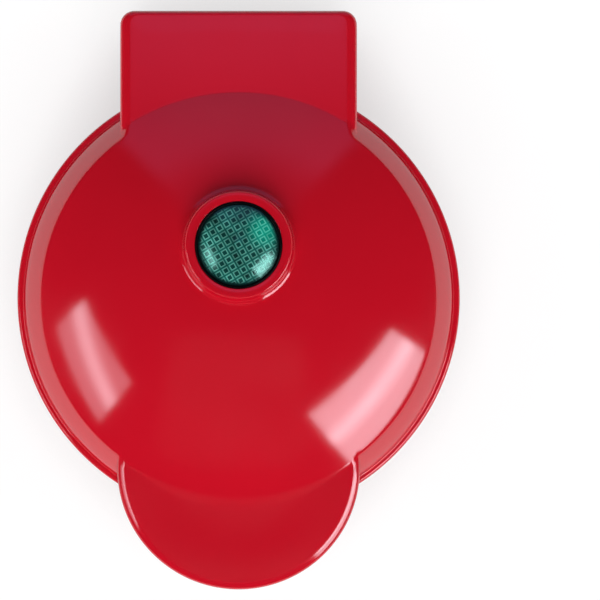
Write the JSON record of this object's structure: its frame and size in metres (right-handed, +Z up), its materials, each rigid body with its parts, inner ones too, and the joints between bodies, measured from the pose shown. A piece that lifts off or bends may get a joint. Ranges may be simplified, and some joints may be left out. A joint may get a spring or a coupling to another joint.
{
  "type": "waffle maker",
  "caption": "Round countertop waffle maker with a hinged domed lid, half-round handle, lens over an indicator lamp, and two plates with square studs.",
  "frame": {"origin": "on the resting surface, under the centre of the round body", "axes": "+Z up, -Y towards the handle, +Y towards the hinge"},
  "size_m": [0.127, 0.1648, 0.0709],
  "materials": {
    "red_plastic": "high gloss",
    "frame_plastic": "satin",
    "plate_coating": "cast, with a dark non-stick coating",
    "steel": "zinc plated",
    "aluminised_steel": "aluminised sheet",
    "element_sheath": "darkened by heat",
    "green_lens": "clear green, moulded grid",
    "black_rubber": "matte",
    "white_ceramic": "unglazed",
    "dark_plastic": "matte",
    "lamp_glass": "clear",
    "lead_sleeve": "woven glass sleeve"
  },
  "bodies": {
    "base": {"base_shell": "red_plastic", "base_frame": "frame_plastic", "lower_plate": "plate_coating", "lower_element": "element_sheath", "lower_reflector": "aluminised_steel", "lower_terminal_left": "steel", "lower_terminal_right": "steel", "lower_clamp_left": "steel", "lower_clamp_right": "steel", "lower_clamp_screw_left": "steel", "lower_clamp_screw_right": "steel", "thermostat": "white_ceramic", "thermal_fuse": "steel", "terminal_block": "white_ceramic", "cord_gland": "black_rubber", "base_screw_front_left": "steel", "base_screw_front_right": "steel", "base_screw_rear_left": "steel", "base_screw_rear_right": "steel", "foot_front_left": "black_rubber", "foot_front_right": "black_rubber", "foot_rear_left": "black_rubber", "foot_rear_right": "black_rubber", "hinge_pin_left": "steel", "hinge_pin_right": "steel", "hinge_lead_left": "lead_sleeve", "hinge_lead_right": "lead_sleeve", "element_lead_left": "lead_sleeve", "element_lead_right": "lead_sleeve"},
    "lid": {"lid_shell": "red_plastic", "lid_frame": "frame_plastic", "upper_plate": "plate_coating", "upper_element": "element_sheath", "upper_reflector": "aluminised_steel", "upper_terminal_left": "steel", "upper_terminal_right": "steel", "upper_clamp_left": "steel", "upper_clamp_right": "steel", "upper_clamp_screw_left": "steel", "upper_clamp_screw_right": "steel", "lens_ring": "black_rubber", "indicator_lens": "green_lens", "lamp_holder": "dark_plastic", "indicator_lamp": "lamp_glass", "lid_screw_front_left": "steel", "lid_screw_front_right": "steel", "lid_screw_rear_left": "steel", "lid_screw_rear_right": "steel", "lid_lead_left": "lead_sleeve", "lid_lead_right": "lead_sleeve"}
  },
  "joints": [
    {"name": "lid_hinge", "type": "hinge", "parent": "base", "child": "lid", "pos_m": [0, 0.0758, 0.036], "axis": [-1, 0, 0], "range_deg": [0, 95]}
  ]
}
